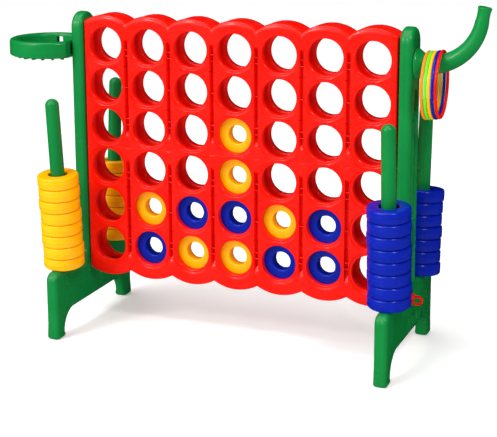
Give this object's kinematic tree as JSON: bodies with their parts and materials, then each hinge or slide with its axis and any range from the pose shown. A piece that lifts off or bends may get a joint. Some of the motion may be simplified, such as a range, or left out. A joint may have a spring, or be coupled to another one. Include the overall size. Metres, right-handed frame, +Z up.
{
  "type": "giant four in a row lawn game",
  "caption": "Freestanding giant four in a row lawn game: slotted upright board on side frames, with storage posts for discs, release slider, hoop and ring toss arm.",
  "frame": {"origin": "on the floor under the centre of the bounding box", "axes": "+X along the board from the hoop to the ring toss arm, +Y from the front to the back, +Z up"},
  "size_m": [1.7644, 0.582, 1.2273],
  "materials": {
    "red_plastic": "moulded, semi-gloss",
    "green_plastic": "moulded, semi-gloss",
    "yellow_plastic": "moulded, semi-gloss",
    "blue_plastic": "moulded, semi-gloss",
    "orange_plastic": "moulded, semi-gloss",
    "lime_plastic": "moulded, semi-gloss"
  },
  "bodies": {
    "game": {"back_lower_panel": "red_plastic", "back_upper_panel": "red_plastic", "front_lower_panel": "red_plastic", "front_upper_panel": "red_plastic", "hoop": "green_plastic", "left_back_post": "green_plastic", "left_frame": "green_plastic", "left_front_post": "green_plastic", "right_back_post": "green_plastic", "right_frame": "green_plastic", "right_front_post": "green_plastic", "toss_arm": "green_plastic"},
    "release_slider": {"release_slider": "red_plastic"},
    "orange_toss_ring": {"orange_toss_ring": "orange_plastic"},
    "lime_toss_ring": {"lime_toss_ring": "lime_plastic"},
    "yellow_toss_ring": {"yellow_toss_ring": "yellow_plastic"},
    "blue_toss_ring": {"blue_toss_ring": "blue_plastic"},
    "red_toss_ring": {"red_toss_ring": "red_plastic"},
    "blue_disc_board_3": {"blue_disc_board_3": "blue_plastic"},
    "yellow_disc_board_4": {"yellow_disc_board_4": "yellow_plastic"},
    "yellow_disc_board_2": {"yellow_disc_board_2": "yellow_plastic"},
    "blue_disc_board_6": {"blue_disc_board_6": "blue_plastic"},
    "yellow_disc_board_1": {"yellow_disc_board_1": "yellow_plastic"},
    "blue_disc_board_5": {"blue_disc_board_5": "blue_plastic"},
    "yellow_disc_board_5": {"yellow_disc_board_5": "yellow_plastic"},
    "yellow_disc_board_6": {"yellow_disc_board_6": "yellow_plastic"},
    "blue_disc_board_2": {"blue_disc_board_2": "blue_plastic"},
    "yellow_disc_board_3": {"yellow_disc_board_3": "yellow_plastic"},
    "blue_disc_board_1": {"blue_disc_board_1": "blue_plastic"},
    "blue_disc_board_4": {"blue_disc_board_4": "blue_plastic"},
    "yellow_disc_front_1": {"yellow_disc_front_1": "yellow_plastic"},
    "yellow_disc_front_2": {"yellow_disc_front_2": "yellow_plastic"},
    "yellow_disc_front_3": {"yellow_disc_front_3": "yellow_plastic"},
    "yellow_disc_front_4": {"yellow_disc_front_4": "yellow_plastic"},
    "yellow_disc_front_5": {"yellow_disc_front_5": "yellow_plastic"},
    "yellow_disc_front_6": {"yellow_disc_front_6": "yellow_plastic"},
    "yellow_disc_front_7": {"yellow_disc_front_7": "yellow_plastic"},
    "yellow_disc_front_8": {"yellow_disc_front_8": "yellow_plastic"},
    "yellow_disc_back_1": {"yellow_disc_back_1": "yellow_plastic"},
    "yellow_disc_back_2": {"yellow_disc_back_2": "yellow_plastic"},
    "yellow_disc_back_3": {"yellow_disc_back_3": "yellow_plastic"},
    "yellow_disc_back_4": {"yellow_disc_back_4": "yellow_plastic"},
    "yellow_disc_back_5": {"yellow_disc_back_5": "yellow_plastic"},
    "yellow_disc_back_6": {"yellow_disc_back_6": "yellow_plastic"},
    "yellow_disc_back_7": {"yellow_disc_back_7": "yellow_plastic"},
    "blue_disc_front_1": {"blue_disc_front_1": "blue_plastic"},
    "blue_disc_front_2": {"blue_disc_front_2": "blue_plastic"},
    "blue_disc_front_3": {"blue_disc_front_3": "blue_plastic"},
    "blue_disc_front_4": {"blue_disc_front_4": "blue_plastic"},
    "blue_disc_front_5": {"blue_disc_front_5": "blue_plastic"},
    "blue_disc_front_6": {"blue_disc_front_6": "blue_plastic"},
    "blue_disc_front_7": {"blue_disc_front_7": "blue_plastic"},
    "blue_disc_front_8": {"blue_disc_front_8": "blue_plastic"},
    "blue_disc_back_1": {"blue_disc_back_1": "blue_plastic"},
    "blue_disc_back_2": {"blue_disc_back_2": "blue_plastic"},
    "blue_disc_back_3": {"blue_disc_back_3": "blue_plastic"},
    "blue_disc_back_4": {"blue_disc_back_4": "blue_plastic"},
    "blue_disc_back_5": {"blue_disc_back_5": "blue_plastic"},
    "blue_disc_back_6": {"blue_disc_back_6": "blue_plastic"},
    "blue_disc_back_7": {"blue_disc_back_7": "blue_plastic"}
  },
  "joints": [
    {"name": "slider_pull", "type": "slide", "parent": "game", "child": "release_slider", "axis": [1, 0, 0], "range_m": [0, 0.0825]},
    {"name": "orange_ring_swing", "type": "hinge", "parent": "game", "child": "orange_toss_ring", "pos_m": [0.67779, 0, 1.028], "axis": [0.9982, 0.0593, 0], "range_deg": [-35, 35]},
    {"name": "lime_ring_swing", "type": "hinge", "parent": "game", "child": "lime_toss_ring", "pos_m": [0.68949, 0, 1.02822], "axis": [0.9982, 0.0593, 0], "range_deg": [-35, 35]},
    {"name": "yellow_ring_swing", "type": "hinge", "parent": "game", "child": "yellow_toss_ring", "pos_m": [0.70119, 0, 1.02921], "axis": [0.9982, 0.0593, 0], "range_deg": [-35, 35]},
    {"name": "blue_ring_swing", "type": "hinge", "parent": "game", "child": "blue_toss_ring", "pos_m": [0.71289, 0, 1.03102], "axis": [0.9982, 0.0593, 0], "range_deg": [-35, 35]},
    {"name": "red_ring_swing", "type": "hinge", "parent": "game", "child": "red_toss_ring", "pos_m": [0.72459, 0, 1.03367], "axis": [0.9982, 0.0593, 0], "range_deg": [-35, 35]},
    {"name": "blue_disc_board_3_lift", "type": "slide", "parent": "game", "child": "blue_disc_board_3", "axis": [0, 0, 1], "range_m": [0, 0.935]},
    {"name": "yellow_disc_board_4_lift", "type": "slide", "parent": "blue_disc_board_3", "child": "yellow_disc_board_4", "axis": [0, 0, 1], "range_m": [0, 0.788]},
    {"name": "yellow_disc_board_2_lift", "type": "slide", "parent": "game", "child": "yellow_disc_board_2", "axis": [0, 0, 1], "range_m": [0, 0.935]},
    {"name": "blue_disc_board_6_lift", "type": "slide", "parent": "yellow_disc_board_2", "child": "blue_disc_board_6", "axis": [0, 0, 1], "range_m": [0, 0.788]},
    {"name": "yellow_disc_board_1_lift", "type": "slide", "parent": "game", "child": "yellow_disc_board_1", "axis": [0, 0, 1], "range_m": [0, 0.935]},
    {"name": "blue_disc_board_5_lift", "type": "slide", "parent": "yellow_disc_board_1", "child": "blue_disc_board_5", "axis": [0, 0, 1], "range_m": [0, 0.788]},
    {"name": "yellow_disc_board_5_lift", "type": "slide", "parent": "blue_disc_board_5", "child": "yellow_disc_board_5", "axis": [0, 0, 1], "range_m": [0, 0.641]},
    {"name": "yellow_disc_board_6_lift", "type": "slide", "parent": "yellow_disc_board_5", "child": "yellow_disc_board_6", "axis": [0, 0, 1], "range_m": [0, 0.494]},
    {"name": "blue_disc_board_2_lift", "type": "slide", "parent": "game", "child": "blue_disc_board_2", "axis": [0, 0, 1], "range_m": [0, 0.935]},
    {"name": "yellow_disc_board_3_lift", "type": "slide", "parent": "blue_disc_board_2", "child": "yellow_disc_board_3", "axis": [0, 0, 1], "range_m": [0, 0.788]},
    {"name": "blue_disc_board_1_lift", "type": "slide", "parent": "game", "child": "blue_disc_board_1", "axis": [0, 0, 1], "range_m": [0, 0.935]},
    {"name": "blue_disc_board_4_lift", "type": "slide", "parent": "blue_disc_board_1", "child": "blue_disc_board_4", "axis": [0, 0, 1], "range_m": [0, 0.788]},
    {"name": "yellow_disc_front_1_lift", "type": "slide", "parent": "game", "child": "yellow_disc_front_1", "axis": [0, -0.0872, 0.9962], "range_m": [0, 0.64]},
    {"name": "yellow_disc_front_2_lift", "type": "slide", "parent": "yellow_disc_front_1", "child": "yellow_disc_front_2", "axis": [0, -0.0872, 0.9962], "range_m": [0, 0.597]},
    {"name": "yellow_disc_front_3_lift", "type": "slide", "parent": "yellow_disc_front_2", "child": "yellow_disc_front_3", "axis": [0, -0.0872, 0.9962], "range_m": [0, 0.554]},
    {"name": "yellow_disc_front_4_lift", "type": "slide", "parent": "yellow_disc_front_3", "child": "yellow_disc_front_4", "axis": [0, -0.0872, 0.9962], "range_m": [0, 0.511]},
    {"name": "yellow_disc_front_5_lift", "type": "slide", "parent": "yellow_disc_front_4", "child": "yellow_disc_front_5", "axis": [0, -0.0872, 0.9962], "range_m": [0, 0.468]},
    {"name": "yellow_disc_front_6_lift", "type": "slide", "parent": "yellow_disc_front_5", "child": "yellow_disc_front_6", "axis": [0, -0.0872, 0.9962], "range_m": [0, 0.425]},
    {"name": "yellow_disc_front_7_lift", "type": "slide", "parent": "yellow_disc_front_6", "child": "yellow_disc_front_7", "axis": [0, -0.0872, 0.9962], "range_m": [0, 0.382]},
    {"name": "yellow_disc_front_8_lift", "type": "slide", "parent": "yellow_disc_front_7", "child": "yellow_disc_front_8", "axis": [0, -0.0872, 0.9962], "range_m": [0, 0.339]},
    {"name": "yellow_disc_back_1_lift", "type": "slide", "parent": "game", "child": "yellow_disc_back_1", "axis": [0, 0.0872, 0.9962], "range_m": [0, 0.64]},
    {"name": "yellow_disc_back_2_lift", "type": "slide", "parent": "yellow_disc_back_1", "child": "yellow_disc_back_2", "axis": [0, 0.0872, 0.9962], "range_m": [0, 0.597]},
    {"name": "yellow_disc_back_3_lift", "type": "slide", "parent": "yellow_disc_back_2", "child": "yellow_disc_back_3", "axis": [0, 0.0872, 0.9962], "range_m": [0, 0.554]},
    {"name": "yellow_disc_back_4_lift", "type": "slide", "parent": "yellow_disc_back_3", "child": "yellow_disc_back_4", "axis": [0, 0.0872, 0.9962], "range_m": [0, 0.511]},
    {"name": "yellow_disc_back_5_lift", "type": "slide", "parent": "yellow_disc_back_4", "child": "yellow_disc_back_5", "axis": [0, 0.0872, 0.9962], "range_m": [0, 0.468]},
    {"name": "yellow_disc_back_6_lift", "type": "slide", "parent": "yellow_disc_back_5", "child": "yellow_disc_back_6", "axis": [0, 0.0872, 0.9962], "range_m": [0, 0.425]},
    {"name": "yellow_disc_back_7_lift", "type": "slide", "parent": "yellow_disc_back_6", "child": "yellow_disc_back_7", "axis": [0, 0.0872, 0.9962], "range_m": [0, 0.382]},
    {"name": "blue_disc_front_1_lift", "type": "slide", "parent": "game", "child": "blue_disc_front_1", "axis": [0, -0.0872, 0.9962], "range_m": [0, 0.64]},
    {"name": "blue_disc_front_2_lift", "type": "slide", "parent": "blue_disc_front_1", "child": "blue_disc_front_2", "axis": [0, -0.0872, 0.9962], "range_m": [0, 0.597]},
    {"name": "blue_disc_front_3_lift", "type": "slide", "parent": "blue_disc_front_2", "child": "blue_disc_front_3", "axis": [0, -0.0872, 0.9962], "range_m": [0, 0.554]},
    {"name": "blue_disc_front_4_lift", "type": "slide", "parent": "blue_disc_front_3", "child": "blue_disc_front_4", "axis": [0, -0.0872, 0.9962], "range_m": [0, 0.511]},
    {"name": "blue_disc_front_5_lift", "type": "slide", "parent": "blue_disc_front_4", "child": "blue_disc_front_5", "axis": [0, -0.0872, 0.9962], "range_m": [0, 0.468]},
    {"name": "blue_disc_front_6_lift", "type": "slide", "parent": "blue_disc_front_5", "child": "blue_disc_front_6", "axis": [0, -0.0872, 0.9962], "range_m": [0, 0.425]},
    {"name": "blue_disc_front_7_lift", "type": "slide", "parent": "blue_disc_front_6", "child": "blue_disc_front_7", "axis": [0, -0.0872, 0.9962], "range_m": [0, 0.382]},
    {"name": "blue_disc_front_8_lift", "type": "slide", "parent": "blue_disc_front_7", "child": "blue_disc_front_8", "axis": [0, -0.0872, 0.9962], "range_m": [0, 0.339]},
    {"name": "blue_disc_back_1_lift", "type": "slide", "parent": "game", "child": "blue_disc_back_1", "axis": [0, 0.0872, 0.9962], "range_m": [0, 0.64]},
    {"name": "blue_disc_back_2_lift", "type": "slide", "parent": "blue_disc_back_1", "child": "blue_disc_back_2", "axis": [0, 0.0872, 0.9962], "range_m": [0, 0.597]},
    {"name": "blue_disc_back_3_lift", "type": "slide", "parent": "blue_disc_back_2", "child": "blue_disc_back_3", "axis": [0, 0.0872, 0.9962], "range_m": [0, 0.554]},
    {"name": "blue_disc_back_4_lift", "type": "slide", "parent": "blue_disc_back_3", "child": "blue_disc_back_4", "axis": [0, 0.0872, 0.9962], "range_m": [0, 0.511]},
    {"name": "blue_disc_back_5_lift", "type": "slide", "parent": "blue_disc_back_4", "child": "blue_disc_back_5", "axis": [0, 0.0872, 0.9962], "range_m": [0, 0.468]},
    {"name": "blue_disc_back_6_lift", "type": "slide", "parent": "blue_disc_back_5", "child": "blue_disc_back_6", "axis": [0, 0.0872, 0.9962], "range_m": [0, 0.425]},
    {"name": "blue_disc_back_7_lift", "type": "slide", "parent": "blue_disc_back_6", "child": "blue_disc_back_7", "axis": [0, 0.0872, 0.9962], "range_m": [0, 0.382]}
  ]
}
